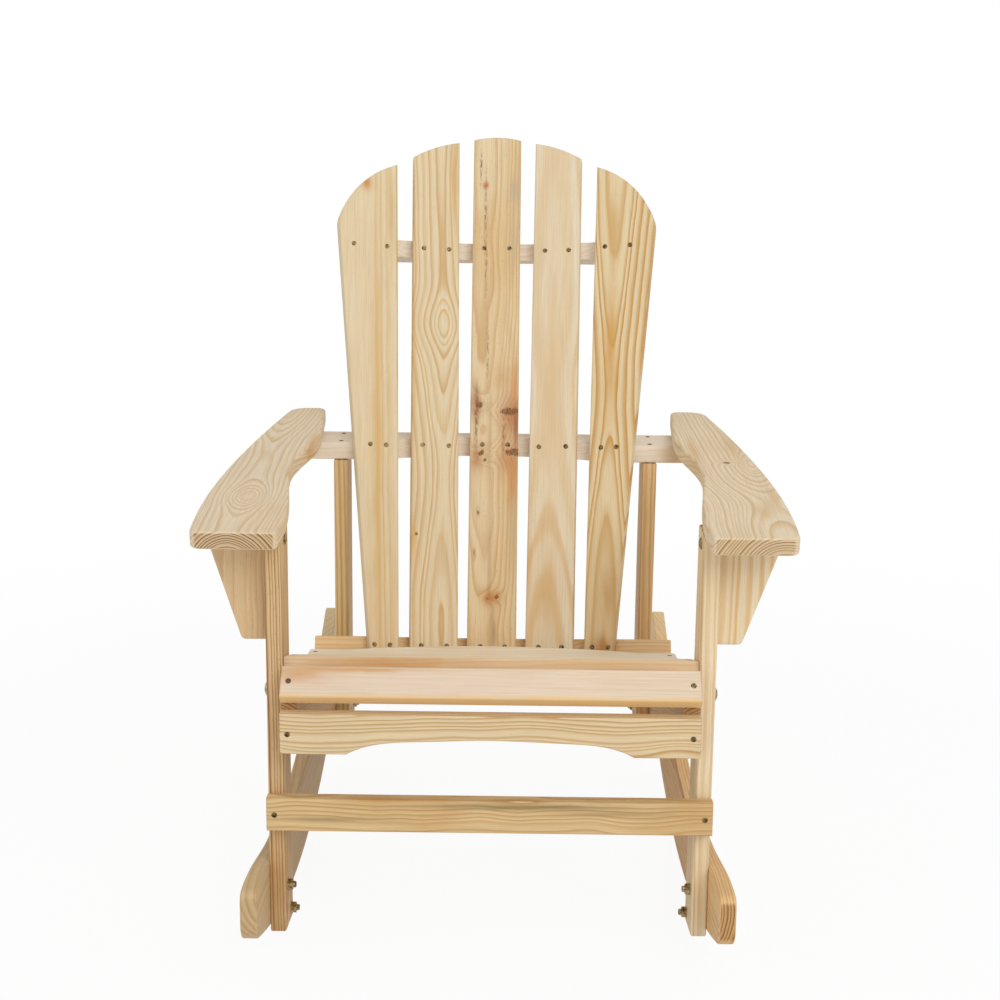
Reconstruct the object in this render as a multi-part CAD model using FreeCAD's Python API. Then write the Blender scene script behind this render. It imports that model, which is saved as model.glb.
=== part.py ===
import FreeCAD, Part
import os
from math import sin, cos, tan, radians, sqrt

V = FreeCAD.Vector

# All sizes are in millimetres and degrees. X runs across the chair, Y from front to rear and
# Z up. X counts from the middle between the legs and Y from their front faces while the pieces
# are made. At the end the chair is moved, and its origin lies on the floor under its box's middle.

# Boards
board = 20.0              # thickness of the thin boards
rail_stock = 25.0         # thickness of the three cross rails of the back
stock = 62.0              # width of the leg, post, seat and rail boards
ease = 2.5                # rounding of a board's long edges
end_gap = 0.5             # room between a board's end and the side of its neighbour
fit_gap = 0.1             # clearance of a screw, bolt, dowel or slat in its seat

# Side layers, from the posts outwards, each one board thick
rail_inner_x = 233.0      # inner face of a seat rail

# Rockers
contact_y = 313.0         # where the rocker meets the floor at rest
rocker_radius = 1230.0
rocker_top_radius = 1437.0
rocker_waist_y = 204.0    # lowest point of the rocker's top edge
rocker_waist_z = 105.0
nose_y = -105.0           # front end of the rocker
nose_top_z = 131.0
nose_bends = ((115.0, 108.0), (41.0, 118.5), (-5.0, 126.5), (-50.0, 132.0), (-85.0, 133.0))
tail_bends = (680.0, 540.0, 400.0, 290.0)
tail_top_y = 820.0
tail_bottom_y = 846.0
nose_top_round = 14.0
nose_bottom_round = 26.0
tail_top_round = 20.0
tail_bottom_round = 14.0

# Arms, and the sloping plane that they rest on
arm_under_z = 539.7       # underside of the arms over the front face of the legs
arm_tilt = 6.94           # the arms rise to the rear
arm_thick = 22.0
arm_front_y = -50.0
arm_rear_y = 519.0
arm_ease = 3.5
arm_shift = 2.7           # both arms sit this far to one side
arm_outer_corner = 355.0  # from the chair's middle out to the arm's front corners
arm_inner_corner = 254.0
arm_rear_outer = 308.0
arm_rear_inner = 259.0
arm_outer_bends = ((358.0, 125.0), (341.0, 310.0), (326.0, 415.0))
arm_inner_bends = ((254.0, 440.0), (254.0, 335.0), (263.0, 285.0), (271.0, 215.0), (263.0, 135.0), (254.0, 60.0))
arm_front_outer_round = 14.0
arm_front_inner_round = 8.0
arm_rear_outer_round = 26.0
arm_rear_inner_round = 12.0

# Front legs
leg_foot_front_z = 33.0   # the foot is cut straight, a little below the rocker's edge in front
leg_foot_rear_z = 27.0

# Rear posts
post_front_y = 405.0
post_foot_gap = 2.0       # above the seat rail's lower edge

# Seat rails and the boards on them
seat_start_y = 4.4        # where the first flat board's underside begins
seat_start_z = 369.4
seat_slopes = (14.5, 21.0, 16.5, 5.6)    # each flat board's fall to the rear
seat_gap = 6.5            # between the undersides of neighbouring flat boards
seat_bow = 36.0           # how far the last board's rear edge bows to the rear
seat_bow_half = 200.0
seat_bow_round = 30.0
nose_board_wide = 41.0
nose_board_slope = 47.0
rail_front_y = -19.5
rail_front_bottom_z = 276.0
rail_rear_y = 690.0
rail_rear_bottom_z = 60.0

# Apron and foot stretcher
apron_bottom_z = 281.0
apron_top_z = 331.0
apron_arch_half = 173.0
apron_arch_high = 19.3
stretcher_bottom_z = 174.5
stretcher_top_z = 216.5

# Spacer blocks between the seat rails and the rockers
spacer_front_y = 605.0
spacer_rear_y = 685.0
spacer_margin = 6.0

# The back: flat slats round a slightly flaring hollow
recline = 18.9            # lean of the back from upright
back_base_y = 349.5       # foot of the middle slat's rear face
back_base_z = 323.5
back_radius = 642.0       # at this height along the slats:
back_radius_height = 280.0
back_flare = 0.0856       # growth of the radius per millimetre along the slats
slat_step = 7.85          # angle between neighbouring slats
slat_wide = 70.0
next_slat_wide = 68.2     # the two beside the middle slat
fan_shift = -2.2          # the whole fan of slats stands this far to one side
slat_foot = -50.0
slat_ease = 2.5
middle_top = 731.0
middle_crown = 4.5
next_inner_top = 726.0
next_outer_top = 700.0
next_crown = 4.0
outer_slat_inner = 32.0   # from the outer slat's own line to its inner edge
outer_slat_foot = 8.4     # from the same line to its outer edge, at the foot
outer_slat_shoulder = 55.5
outer_top = 686.0
outer_shoulder = 594.0
outer_bend = (15.5, 658.0)
shoulder_round = 40.0

# Cross rails of the back
lower_rail_mid = -20.0    # middle of the lower rail along the slats
lower_rail_proud = 27.0   # its front edge, ahead of the middle slat's rear face
upper_rail_mid = 565.0
upper_rail_proud = 43.5
upper_rail_half = 221.0
middle_rail_half = 300.0

# Arm brackets
bracket_front_y = 21.0
bracket_top_reach = {"left": 76.0, "right": 81.0}
bracket_bottom_reach = 32.0
bracket_bottom_z = 406.0
bracket_round = 6.0

# Screws: head diameter, shank diameter and length
slat_screw = (7.0, 4.0, 35.0)
seat_screw = (7.0, 4.0, 35.0)
post_screw = (7.0, 4.0, 35.0)
rail_screw = (7.0, 4.0, 60.0)
arm_screw = (7.0, 4.0, 40.0)
screw_sunk = 0.2          # head below the board's face
screw_tip = 4.0
seat_screw_inset = 18.0
upper_slat_screws = ((-33.0, 16.0), (-18.0, 19.0), (-18.0, 19.0), (-17.0, 18.0), (-17.0, 20.0))
middle_slat_screws = ((-9.0, 14.0), (-18.0, 20.0), (-17.0, 20.0), (-20.0, 19.0), (-15.0, 7.5))
lower_slat_screws = ((-3.0, 19.0), (-18.0, 18.0), (-16.0, 19.0), (-15.0, 18.0), (-20.0, 3.0))
upper_screw_rise = (-5.0, -3.5, 0.0, -4.0, -1.5)    # each slat's screws above the rail's middle
middle_screw_rise = (6.0, 0.0, 0.0, 0.0, 6.0)
lower_screw_rise = (0.0, 0.0, 0.0, 0.0, 0.0)
middle_rail_screw_y = (417.0, 456.0)
arm_screw_x = (268.0, 288.0)
post_screw_z = (178.0, 228.0)

# Bolts and dowels
bolt_d = 8.0
bolt_head_d = 19.0
bolt_head_high = 4.0
bolt_end = 4.0            # thread showing past the nut
nut_flats = 13.0
nut_high = 6.5
nut_chamfer = 1.0
leg_rocker_bolts = ((20.0, 87.0), (47.0, 43.0))
leg_rail_bolts = ((14.0, 346.0), (47.0, 300.0))
rear_bolts = ((628.0, 122.0), (664.0, 112.0))
lag_d = 6.0
lag_head_d = 15.0
lag_head_high = 3.5
lag_length = 60.0
lag_drop = 13.0           # from the arm's underside down to the bracket's lag bolt
dowel_d = 8.0
dowel_in_arm = 14.0
dowel_in_leg = 24.0
dowel_y = (14.0, 48.0)

# Places that follow from the sizes above
rail_outer_x = rail_inner_x + board
leg_outer_x = rail_outer_x + board
rocker_outer_x = leg_outer_x + board
post_inner_x = rail_inner_x - board
rail_mid_x = rail_inner_x + board / 2
leg_mid_x = rail_outer_x + board / 2
post_mid_x = post_inner_x + board / 2
post_rear_y = post_front_y + stock
arm_slope = tan(radians(arm_tilt))
arm_up = V(0, -sin(radians(arm_tilt)), cos(radians(arm_tilt)))
slat_up = V(0, sin(radians(recline)), cos(radians(recline)))
slat_back = V(0, cos(radians(recline)), -sin(radians(recline)))
across = V(1, 0, 0)
back_base = V(0, back_base_y, back_base_z)
nodes = {}
holes = []                # on both sides of the chair already
side_holes = []           # on the right-hand side only


def outline(stops):
    # Edges of a closed outline. A list between two corners bends that stretch: one point
    # makes an arc of it and more points a smooth curve
    corners = [k for k, stop in enumerate(stops) if not isinstance(stop, list)]
    edges = []
    for here, after in zip(corners, corners[1:] + corners[:1]):
        bend = []
        if here + 1 < len(stops) and isinstance(stops[here + 1], list):
            bend = stops[here + 1]
        start, end = stops[here], stops[after]
        if not bend:
            edges.append(Part.LineSegment(start, end).toShape())
        elif len(bend) == 1:
            edges.append(Part.Arc(start, bend[0], end).toShape())
        else:
            smooth = Part.BSplineCurve()
            smooth.interpolate([start] + bend + [end])
            edges.append(smooth.toShape())
    return edges


def plank(stops, push, rounding=ease, corner_rounds=()):
    # A board: its outline pushed through its thickness, with its corners and edges rounded.
    # It is made lying flat, from its first corner, and then set in its place
    corners = [stop for stop in stops if not isinstance(stop, list)]
    start = corners[0]
    up = V(push).normalize()
    along = (corners[1] - start).normalize()
    beside = up.cross(along)

    def flat(point):
        return V((point - start).dot(along), (point - start).dot(beside), 0)

    lying = [[flat(p) for p in stop] if isinstance(stop, list) else flat(stop) for stop in stops]
    blank = Part.Face(Part.Wire(outline(lying))).extrude(V(0, 0, push.Length))
    for corner, radius in corner_rounds:
        spot = flat(corner)
        line = [e for e in blank.Edges
                if min((v.Point - spot).Length for v in e.Vertexes) < 0.01
                and abs(e.Length - push.Length) < 0.01]
        blank = blank.makeFillet(radius, line)
    if rounding:
        rims = [e for e in blank.Edges
                if abs(e.valueAt(e.FirstParameter).z - e.valueAt(e.LastParameter).z) < 0.01]
        blank = blank.makeFillet(rounding, rims)
    blank.Placement = FreeCAD.Placement(FreeCAD.Matrix(
        along.x, beside.x, up.x, start.x, along.y, beside.y, up.y, start.y,
        along.z, beside.z, up.z, start.z, 0, 0, 0, 1))
    return blank


def side(y, z, x=0.0):
    return V(x, y, z)


def pair(name, right):
    # One piece for each side of the chair
    nodes[name + "_right"] = right
    nodes[name + "_left"] = right.mirror(V(0, 0, 0), across)


def both_sides(solids):
    return solids + [solid.mirror(V(0, 0, 0), across) for solid in solids]


def turned(stops, place, direction):
    # A round solid: a half section in the plane of radius and height, spun round its axis
    section = Part.Wire(outline(stops))
    blank = Part.Face(section).revolve(V(0, 0, 0), V(0, 0, 1), 360)
    if blank.Volume < 0:
        blank.reverse()
    turn = FreeCAD.Rotation(V(0, 0, 1), direction)
    blank.Placement = FreeCAD.Placement(place, turn)
    return blank


def screw(place, direction, size, bores=holes):
    # A countersunk wood screw whose head lies in the face at place, and the hole for it
    head_d, shank_d, length = size
    head, shank = head_d / 2, shank_d / 2
    cone = head - shank
    top = screw_sunk
    body = turned([V(0, 0, top), V(head, 0, top), V(head, 0, top + 0.4), V(shank, 0, top + cone),
                   V(shank, 0, length - screw_tip), V(0, 0, length)], place, direction)
    hole = turned([V(0, 0, -1), V(head + fit_gap, 0, -1), V(head + fit_gap, 0, top + 0.4),
                   V(shank + fit_gap, 0, top + cone), V(shank + fit_gap, 0, length),
                   V(0, 0, length + fit_gap)], place, direction)
    bores.append(hole)
    return body


def bolt(y, z, head_x, nut_x):
    # A carriage bolt pointing inwards from its domed head, its nut, and the hole for it
    grip = head_x - nut_x
    r = bolt_d / 2
    inwards = V(-1, 0, 0)
    place = V(head_x, y, z)
    end = grip + nut_high + bolt_end
    rim = bolt_head_d / 2
    body = turned([V(0, 0, -bolt_head_high), [V(rim * 0.62, 0, -bolt_head_high * 0.78)], V(rim, 0, -0.8),
                   V(rim, 0, 0), V(r, 0, 0), V(r, 0, end - 1), V(r - 1, 0, end), V(0, 0, end)],
                  place, inwards)
    hole_r = r + fit_gap
    side_holes.append(Part.makeCylinder(hole_r, grip + 2, place + V(1, 0, 0), inwards))
    corner = nut_flats / sqrt(3)
    ring = [V(corner * cos(radians(60 * k)), corner * sin(radians(60 * k)), 0) for k in range(6)]
    block = Part.Face(Part.Wire(outline(ring))).extrude(V(0, 0, nut_high))
    full = corner + 0.1
    trim = full - nut_flats / 2 + 0.1
    crown = turned([V(0, 0, 0), V(full, 0, 0), V(full, 0, nut_high - nut_chamfer),
                    V(full - trim, 0, nut_high), V(0, 0, nut_high)], V(0, 0, 0), V(0, 0, 1))
    bore = Part.makeCylinder(hole_r, nut_high + 2, V(0, 0, -1))
    nut = block.common(crown).cut(bore)
    nut.Placement = FreeCAD.Placement(V(nut_x, y, z), FreeCAD.Rotation(V(0, 0, 1), inwards))
    return body, nut


def rocker_bottom(y):
    return rocker_radius - sqrt(rocker_radius ** 2 - (y - contact_y) ** 2)


def rocker_top(y):
    return rocker_waist_z + rocker_top_radius - sqrt(rocker_top_radius ** 2 - (y - rocker_waist_y) ** 2)


def arm_under(y):
    return arm_under_z + arm_slope * y


def middle_rail_under(y):
    return arm_under(y) - rail_stock / cos(radians(arm_tilt))


def rail_bottom(y):
    fall = (rail_front_bottom_z - rail_rear_bottom_z) / (rail_rear_y - rail_front_y)
    return rail_front_bottom_z - fall * (y - rail_front_y)


def hollow(s):
    # Radius of the back's hollow at a height s along the slats
    return back_radius + back_flare * (s - back_radius_height)


def on_back(angle, s, lateral=0.0):
    # A point on a slat's rear face: its own line is at the angle, and lateral runs across it
    theta = radians(angle)
    r = hollow(s)
    line = back_base + slat_up * s + across * (r * sin(theta) + fan_shift) - slat_back * (r * (1 - cos(theta)))
    return line + (across * cos(theta) - slat_back * sin(theta)) * lateral


def slat_front(angle):
    # The direction out of a slat's front face
    upward = on_back(angle, 1.0) - on_back(angle, 0.0)
    sideways = on_back(angle, 0.0, 1.0) - on_back(angle, 0.0)
    return sideways.cross(upward).normalize()


def back_plane(x, s, depth):
    # A point behind (or before, if negative) the line of the middle slat's rear face
    return back_base + across * x + slat_up * s + slat_back * depth


def slat_room():
    # Everything ahead of the slats' rear faces. The cross rails are cut to it, so that each
    # slat lies flat on its own facet
    sections = []
    half_step = slat_step / 2
    lift = slat_back * fit_gap
    for s in (slat_foot * 2, middle_top + stock):
        corner_r = hollow(s) / cos(radians(half_step))
        ring = []
        for k in (-3, -1, 1, 3):
            theta = radians(k * half_step)
            ring.append(back_plane(corner_r * sin(theta) + fan_shift, s, corner_r * cos(theta) - hollow(s)) + lift)
        reach = 2 * slat_step
        left = on_back(-reach, s, -outer_slat_shoulder - board) + lift
        right = on_back(reach, s, outer_slat_shoulder + board) + lift
        ahead = slat_back * (-4 * stock)
        sections.append(Part.Wire(outline([left + ahead, left] + ring + [right, right + ahead])))
    return Part.makeLoft(sections, True, True)


def make_rockers():
    tail_bottom = side(tail_bottom_y, rocker_bottom(tail_bottom_y), leg_outer_x)
    tail_top = side(tail_top_y, rocker_top(tail_top_y), leg_outer_x)
    nose_bottom = side(nose_y, rocker_bottom(nose_y), leg_outer_x)
    nose_top = side(nose_y, nose_top_z, leg_outer_x)
    top_edge = [side(y, rocker_top(y), leg_outer_x) for y in tail_bends]
    top_edge += [side(rocker_waist_y, rocker_waist_z, leg_outer_x)]
    top_edge += [side(y, z, leg_outer_x) for y, z in nose_bends]
    stops = [nose_bottom, [side(contact_y, 0, leg_outer_x)], tail_bottom, tail_top, top_edge, nose_top]
    rounds = ((nose_top, nose_top_round), (nose_bottom, nose_bottom_round),
              (tail_top, tail_top_round), (tail_bottom, tail_bottom_round))
    pair("rocker", plank(stops, across * board, ease, rounds))


def make_legs():
    foot_front = side(0, leg_foot_front_z, rail_outer_x)
    foot_rear = side(stock, leg_foot_rear_z, rail_outer_x)
    stops = [foot_front, foot_rear, side(stock, arm_under(stock), rail_outer_x),
             side(0, arm_under(0), rail_outer_x)]
    pair("front_leg", plank(stops, across * board))


def make_posts():
    front_foot = side(post_front_y, rail_bottom(post_front_y) + post_foot_gap, post_inner_x)
    rear_foot = side(post_rear_y, rail_bottom(post_rear_y) + post_foot_gap, post_inner_x)
    stops = [front_foot, rear_foot, side(post_rear_y, middle_rail_under(post_rear_y), post_inner_x),
             side(post_front_y, middle_rail_under(post_front_y), post_inner_x)]
    pair("rear_post", plank(stops, across * board))


def seat_places():
    # Where each flat seat board's underside starts, and its fall
    y, z = seat_start_y, seat_start_z
    places = []
    for k, slope in enumerate(seat_slopes):
        places.append((y, z, slope))
        turn = radians(slope)
        y += stock * cos(turn)
        z -= stock * sin(turn)
        if k + 1 < len(seat_slopes):
            turn = radians((slope + seat_slopes[k + 1]) / 2)
            y += seat_gap * cos(turn)
            z -= seat_gap * sin(turn)
    return places


def make_seat_boards():
    places = seat_places()
    half = rail_outer_x - end_gap
    screws = []
    for k, (y, z, slope) in enumerate(places):
        turn = radians(slope)
        run = V(0, cos(turn), -sin(turn))
        up = V(0, sin(turn), cos(turn))
        front = V(0, y, z)
        rear = front + run * stock
        stops = [front - across * half, rear - across * half, rear + across * half, front + across * half]
        rounds = ()
        if k == len(places) - 1:
            # The last board is wider in the middle, where it bows to the rear along the slats
            bow_left = rear - across * seat_bow_half
            bow_right = rear + across * seat_bow_half
            stops[2:2] = [bow_left, [rear + run * seat_bow], bow_right]
            rounds = ((bow_left, seat_bow_round), (bow_right, seat_bow_round))
        nodes["seat_slat_%d" % (k + 1)] = plank(stops, up * board, ease, rounds)
        for inset in (seat_screw_inset, stock - seat_screw_inset):
            place = front + run * inset + up * board + across * rail_mid_x
            screws.append(screw(place, up * -1, seat_screw))
            screws.append(screw(place - across * (2 * rail_mid_x), up * -1, seat_screw))
    nodes["seat_screws"] = Part.makeCompound(screws)


def nose_board_frame():
    turn = radians(nose_board_slope)
    run = V(0, -cos(turn), -sin(turn))
    out = V(0, -sin(turn), cos(turn))
    return V(0, seat_start_y, seat_start_z), run, out


def make_nose_board():
    # The sloping board at the seat's front
    top, run, out = nose_board_frame()
    half = rail_outer_x - end_gap
    foot = top + run * nose_board_wide
    stops = [top - across * half, foot - across * half, foot + across * half, top + across * half]
    nodes["seat_slat_front"] = plank(stops, out * board)
    centre = top + run * (nose_board_wide / 2) + out * board
    nodes["seat_slat_front_screws"] = Part.makeCompound(
        [screw(centre + across * x, out * -1, seat_screw) for x in (-rail_mid_x, rail_mid_x)])


def lower_rail_corners():
    # The lower back rail's underside in side view, front and rear
    s = lower_rail_mid - rail_stock / 2
    front = back_plane(0, s, -lower_rail_proud)
    rear = back_plane(0, s, stock - lower_rail_proud)
    return front, rear


def make_seat_rails():
    places = seat_places()
    top, run, out = nose_board_frame()
    reach = (top.y - rail_front_y) / -run.y
    stops = [top + run * reach, side(rail_front_y, rail_front_bottom_z), side(rail_rear_y, rail_rear_bottom_z)]
    rail_front, rail_rear = lower_rail_corners()
    fall = (rail_front.z - rail_rear.z) / (rail_rear.y - rail_front.y)
    stops.append(side(rail_rear_y, rail_rear.z - fall * (rail_rear_y - rail_rear.y)))
    stops.append(rail_front)
    for y, z, slope in reversed(places):
        turn = radians(slope)
        stops.append(side(y + stock * cos(turn), z - stock * sin(turn)))
        stops.append(side(y, z))
    stops = [stop + across * rail_inner_x for stop in stops]
    rear_top = stops[3]
    rear_bottom = stops[2]
    pair("seat_rail", plank(stops, across * board, 0.0, ((rear_top, 14.0), (rear_bottom, 8.0))))


def make_spacers():
    def low(y):
        return max(rail_bottom(y), rocker_bottom(y)) + spacer_margin

    def high(y):
        rail_front, rail_rear = lower_rail_corners()
        fall = (rail_front.z - rail_rear.z) / (rail_rear.y - rail_front.y)
        return min(rail_rear.z - fall * (y - rail_rear.y), rocker_top(y)) - spacer_margin

    x = rail_outer_x
    stops = [side(spacer_front_y, low(spacer_front_y), x), side(spacer_rear_y, low(spacer_rear_y), x),
             side(spacer_rear_y, high(spacer_rear_y), x), side(spacer_front_y, high(spacer_front_y), x)]
    pair("rear_spacer", plank(stops, across * board, 1.5))


def make_apron():
    y = rail_front_y
    half = rail_outer_x - end_gap
    low, high = apron_bottom_z, apron_top_z
    crown = low + apron_arch_high
    arch = Part.Ellipse(V(apron_arch_half, y, low), V(0, y, crown), V(0, y, low))
    bend = [arch.value(arch.parameter(V(apron_arch_half * cos(radians(a)), y,
                                        low + apron_arch_high * sin(radians(a)))))
            for a in (150, 120, 90, 60, 30)]
    stops = [V(-half, y, high), V(-half, y, low), V(-apron_arch_half, y, low), bend,
             V(apron_arch_half, y, low), V(half, y, low), V(half, y, high)]
    nodes["front_apron"] = plank(stops, V(0, -board, 0), 2.0)
    mid = (low + high) / 2
    nodes["apron_screws"] = Part.makeCompound(
        [screw(V(x, y - board, mid), V(0, 1, 0), seat_screw) for x in (-rail_mid_x, rail_mid_x)])


def make_stretcher():
    low, high = stretcher_bottom_z, stretcher_top_z
    stops = [V(-leg_outer_x, 0, low), V(leg_outer_x, 0, low), V(leg_outer_x, 0, high), V(-leg_outer_x, 0, high)]
    nodes["foot_stretcher"] = plank(stops, V(0, -board, 0))
    mid = (low + high) / 2
    nodes["stretcher_screws"] = Part.makeCompound(
        [screw(V(x, -board, mid), V(0, 1, 0), seat_screw) for x in (-leg_mid_x, leg_mid_x)])


def make_back_slats():
    foot = slat_foot
    for number in range(1, 6):
        k = number - 3
        half = (slat_wide if k == 0 else next_slat_wide) / 2
        angle = k * slat_step
        toward = 1 if k >= 0 else -1
        if k == 0:
            shape = [(-half, foot), (half, foot), (half, middle_top),
                     [(0, middle_top + middle_crown)], (-half, middle_top)]
        elif abs(k) == 1:
            crest = (next_inner_top + next_outer_top) / 2 + next_crown
            shape = [(-half, foot), (half, foot), (half, next_outer_top), [(0, crest)],
                     (-half, next_inner_top)]
        else:
            shape = [(-outer_slat_inner, foot), (outer_slat_foot, foot),
                     (outer_slat_shoulder, outer_shoulder), [outer_bend],
                     (-outer_slat_inner, outer_top)]

        def place(spot):
            return on_back(angle, spot[1], toward * spot[0])

        stops = [[place(stop[0])] if isinstance(stop, list) else place(stop) for stop in shape]
        rounds = ()
        if abs(k) == 2:
            rounds = ((place(shape[2]), shoulder_round),)
        nodes["back_slat_%d" % number] = plank(stops, slat_front(angle) * board, slat_ease, rounds)


def make_slat_screws(name, places, rises, height):
    # One row: two screws in each slat, where height gives the rail's middle along the slat
    screws = []
    for number, laterals in enumerate(places, 1):
        angle = (number - 3) * slat_step
        out = slat_front(angle)
        for lateral in laterals:
            place = on_back(angle, height(angle) + rises[number - 1], lateral) + out * board
            screws.append(screw(place, out * -1, slat_screw))
    nodes[name] = Part.makeCompound(screws)


def middle_rail_height(angle):
    # Where the middle rail's mid plane meets a slat's own line
    mid_under = arm_under_z - rail_stock / 2 / cos(radians(arm_tilt))
    low, high = on_back(angle, 0.0), on_back(angle, 1.0)
    rise = (high.z - low.z) - arm_slope * (high.y - low.y)
    return (mid_under + arm_slope * low.y - low.z) / rise


def make_back_rails():
    room = slat_room()
    thick = slat_up * rail_stock

    def cross_board(half, s, proud):
        low = s - rail_stock / 2
        stops = [back_plane(-half, low, -proud), back_plane(half, low, -proud),
                 back_plane(half, low, stock - proud), back_plane(-half, low, stock - proud)]
        return plank(stops, thick).cut(room)

    nodes["lower_back_rail"] = cross_board(rail_outer_x - end_gap, lower_rail_mid, lower_rail_proud)
    nodes["upper_back_rail"] = cross_board(upper_rail_half, upper_rail_mid, upper_rail_proud)

    def on_arm_plane(x, y):
        return V(x, y, arm_under(y))

    half = middle_rail_half
    stops = [on_arm_plane(-half, post_front_y), on_arm_plane(half, post_front_y),
             on_arm_plane(half, post_rear_y), on_arm_plane(-half, post_rear_y)]
    nodes["middle_back_rail"] = plank(stops, arm_up * -rail_stock).cut(room)

    nodes["middle_rail_screws"] = Part.makeCompound(
        [screw(on_arm_plane(x, y), arm_up * -1, rail_screw)
         for y in middle_rail_screw_y for x in (-post_mid_x, post_mid_x)])
    mid_depth = stock / 2 - lower_rail_proud + board / 2
    top = lower_rail_mid + rail_stock / 2
    nodes["lower_rail_screws"] = Part.makeCompound(
        [screw(back_plane(x, top, mid_depth), slat_up * -1, rail_screw) for x in (-rail_mid_x, rail_mid_x)])
    mid_y = (post_front_y + post_rear_y) / 2
    under = [V(x, mid_y, middle_rail_under(mid_y)) for x in arm_screw_x]
    under += [V(-x, mid_y, middle_rail_under(mid_y)) for x in arm_screw_x]
    nodes["arm_screws"] = Part.makeCompound([screw(place, arm_up, arm_screw) for place in under])


def make_arms():
    def at(x, y):
        return V(x, y, arm_under(y))

    front_outer = at(arm_outer_corner, arm_front_y)
    rear_outer = at(arm_rear_outer, arm_rear_y)
    rear_inner = at(arm_rear_inner, arm_rear_y)
    front_inner = at(arm_inner_corner, arm_front_y)
    outer_edge = [at(x, y) for x, y in arm_outer_bends]
    inner_edge = [at(x, y) for x, y in arm_inner_bends]
    stops = [front_outer, outer_edge, rear_outer, rear_inner, inner_edge, front_inner]
    rounds = ((front_outer, arm_front_outer_round), (front_inner, arm_front_inner_round),
              (rear_outer, arm_rear_outer_round), (rear_inner, arm_rear_inner_round))
    pair("arm", plank(stops, arm_up * arm_thick, arm_ease, rounds))
    for name in ("arm_left", "arm_right"):
        nodes[name].translate(across * arm_shift)


def make_bracket(top_reach):
    y = bracket_front_y
    high = arm_under(y) + board
    low = bracket_bottom_z
    drop = arm_under(y) - low
    spread = (top_reach - bracket_bottom_reach) * (high - low) / drop
    inner = leg_outer_x
    outer_low = V(inner + bracket_bottom_reach, y, low)
    stops = [V(inner, y, low), outer_low, V(inner + bracket_bottom_reach + spread, y, high), V(inner, y, high)]
    bracket = plank(stops, V(0, board, 0), ease, ((outer_low, bracket_round),))
    reach = 4 * stock
    corner = V(0, -reach, arm_under(-reach))
    sheet = Part.Face(Part.Wire(outline([corner, corner + across * (3 * reach),
                                         corner + across * (3 * reach) + V(0, 3 * reach, 3 * reach * arm_slope),
                                         corner + V(0, 3 * reach, 3 * reach * arm_slope)])))
    return bracket.cut(sheet.extrude(arm_up * reach))


def make_bolts():
    rows = (("leg_rocker", leg_rocker_bolts, rocker_outer_x, rail_outer_x),
            ("leg_rail", leg_rail_bolts, leg_outer_x, rail_inner_x),
            ("rear_rocker", rear_bolts, rocker_outer_x, rail_inner_x))
    for name, spots, head_x, nut_x in rows:
        made = [bolt(y, z, head_x, nut_x) for y, z in spots]
        nodes[name + "_bolts"] = Part.makeCompound(both_sides([body for body, nut in made]))
        nodes[name + "_nuts"] = Part.makeCompound(both_sides([nut for body, nut in made]))


def make_bracket_lags():
    # A dome-headed lag bolt through each leg into the edge of its bracket
    y = bracket_front_y + board / 2
    place = V(rail_outer_x, y, arm_under(y) - lag_drop)
    rim, r = lag_head_d / 2, lag_d / 2
    lag = turned([V(0, 0, -lag_head_high), [V(rim * 0.6, 0, -lag_head_high * 0.8)], V(rim, 0, -0.8), V(rim, 0, 0),
                  V(r, 0, 0), V(r, 0, lag_length - screw_tip), V(0, 0, lag_length)], place, across)
    side_holes.append(Part.makeCylinder(r + fit_gap, lag_length + 1 + fit_gap, place - across, across))
    nodes["bracket_lags"] = Part.makeCompound(both_sides([lag]))


def make_dowels():
    pegs = []
    for y in dowel_y:
        start = V(leg_mid_x, y, arm_under(y)) - arm_up * dowel_in_leg
        pegs.append(Part.makeCylinder(dowel_d / 2, dowel_in_leg + dowel_in_arm, start, arm_up))
        side_holes.append(Part.makeCylinder(dowel_d / 2 + fit_gap, dowel_in_leg + dowel_in_arm + 2 * fit_gap,
                                            start - arm_up * fit_gap, arm_up))
    nodes["arm_dowels"] = Part.makeCompound(both_sides(pegs))


def make_post_screws():
    mid_y = (post_front_y + post_rear_y) / 2
    nodes["post_screws"] = Part.makeCompound(
        both_sides([screw(V(post_inner_x, mid_y, z), across, post_screw, side_holes) for z in post_screw_z]))


def drill():
    # Every board is bored for each fastener that passes into it, on both sides of the chair
    cutters = holes + both_sides(side_holes)
    for name, shape in nodes.items():
        if name.endswith(("_screws", "_bolts", "_nuts", "_lags", "_dowels")):
            continue
        hits = [hole for hole in cutters if shape.BoundBox.intersect(hole.BoundBox)]
        if hits:
            nodes[name] = shape.cut(hits)


make_rockers()
make_legs()
make_posts()
make_seat_boards()
make_nose_board()
make_seat_rails()
make_spacers()
make_apron()
make_stretcher()
make_back_slats()
make_slat_screws("upper_slat_screws", upper_slat_screws, upper_screw_rise, lambda angle: upper_rail_mid)
make_slat_screws("middle_slat_screws", middle_slat_screws, middle_screw_rise, middle_rail_height)
make_slat_screws("lower_slat_screws", lower_slat_screws, lower_screw_rise, lambda angle: lower_rail_mid)
make_back_rails()
make_arms()
nodes["arm_bracket_right"] = make_bracket(bracket_top_reach["right"])
nodes["arm_bracket_left"] = make_bracket(bracket_top_reach["left"]).mirror(V(0, 0, 0), across)
make_bolts()
make_bracket_lags()
make_dowels()
make_post_screws()
drill()

box = nodes["rocker_right"].optimalBoundingBox(False, False)
middle = V(-arm_shift, -(box.YMin + box.YMax) / 2, 0)    # the arms are the widest pieces
os.makedirs("parts", exist_ok=True)
for name, shape in nodes.items():
    shape.translate(middle)
    shape.exportStep("parts/%s.step" % name)
print("moved by", middle.x, round(middle.y, 3), "rocker box", box.YMin, box.YMax, box.ZMin)
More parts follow.
